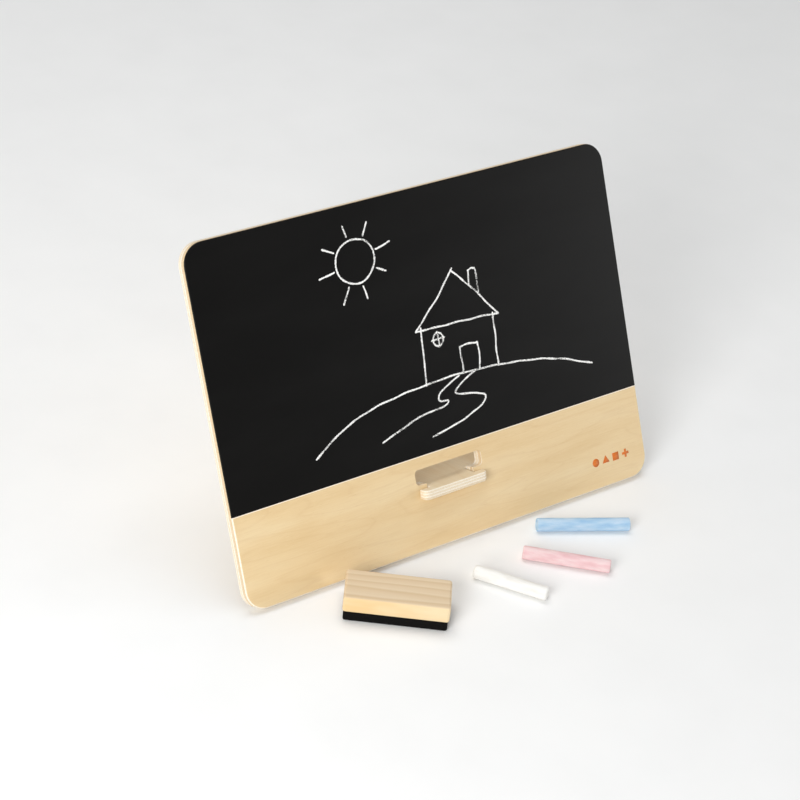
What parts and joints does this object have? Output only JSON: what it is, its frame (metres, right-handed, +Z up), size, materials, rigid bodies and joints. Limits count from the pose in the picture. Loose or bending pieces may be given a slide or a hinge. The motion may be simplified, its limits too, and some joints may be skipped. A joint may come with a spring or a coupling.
{
  "type": "tabletop blackboard easel",
  "caption": "Child's tabletop easel: a plywood board with a black writing surface leaning back on a hooked plywood foot, with a felt eraser and chalk.",
  "frame": {"origin": "on the table, under the middle of the box that holds the easel, the eraser and the chalk", "axes": "+X to the right along the board's lower edge, +Y to the back, +Z up; the writing surface faces -Y and up"},
  "size_m": [0.35, 0.214, 0.2267],
  "materials": {
    "board_plies": "sanded plywood edge",
    "back_ply": "clear satin varnish",
    "band_veneer": "clear satin varnish",
    "writing_surface": "matt blackboard coating",
    "foot_plywood": "clear satin varnish",
    "pine": "sanded, bare",
    "black_felt": "pressed wool felt",
    "white_chalk": "powdery",
    "pink_chalk": "powdery",
    "blue_chalk": "powdery"
  },
  "bodies": {
    "board": {"board_core": "board_plies", "back_veneer": "back_ply", "front_band": "band_veneer", "chalk_panel": "writing_surface"},
    "foot": {"foot_plate": "foot_plywood"},
    "eraser": {"eraser_block": "pine", "eraser_felt": "black_felt"},
    "white_stick": {"chalk_white": "white_chalk"},
    "pink_stick": {"chalk_pink": "pink_chalk"},
    "blue_stick": {"chalk_blue": "blue_chalk"}
  },
  "joints": [
    {"name": "foot_lift", "type": "slide", "parent": "board", "child": "foot", "axis": [0, 0.4462, 0.8949], "range_m": [0, 0.0098]},
    {"name": "eraser_pick", "type": "slide", "parent": "board", "child": "eraser", "axis": [0, 0, 1], "range_m": [0, 0.06]},
    {"name": "white_pick", "type": "slide", "parent": "board", "child": "white_stick", "axis": [0, 0, 1], "range_m": [0, 0.06]},
    {"name": "pink_pick", "type": "slide", "parent": "board", "child": "pink_stick", "axis": [0, 0, 1], "range_m": [0, 0.06]},
    {"name": "blue_pick", "type": "slide", "parent": "board", "child": "blue_stick", "axis": [0, 0, 1], "range_m": [0, 0.06]}
  ]
}
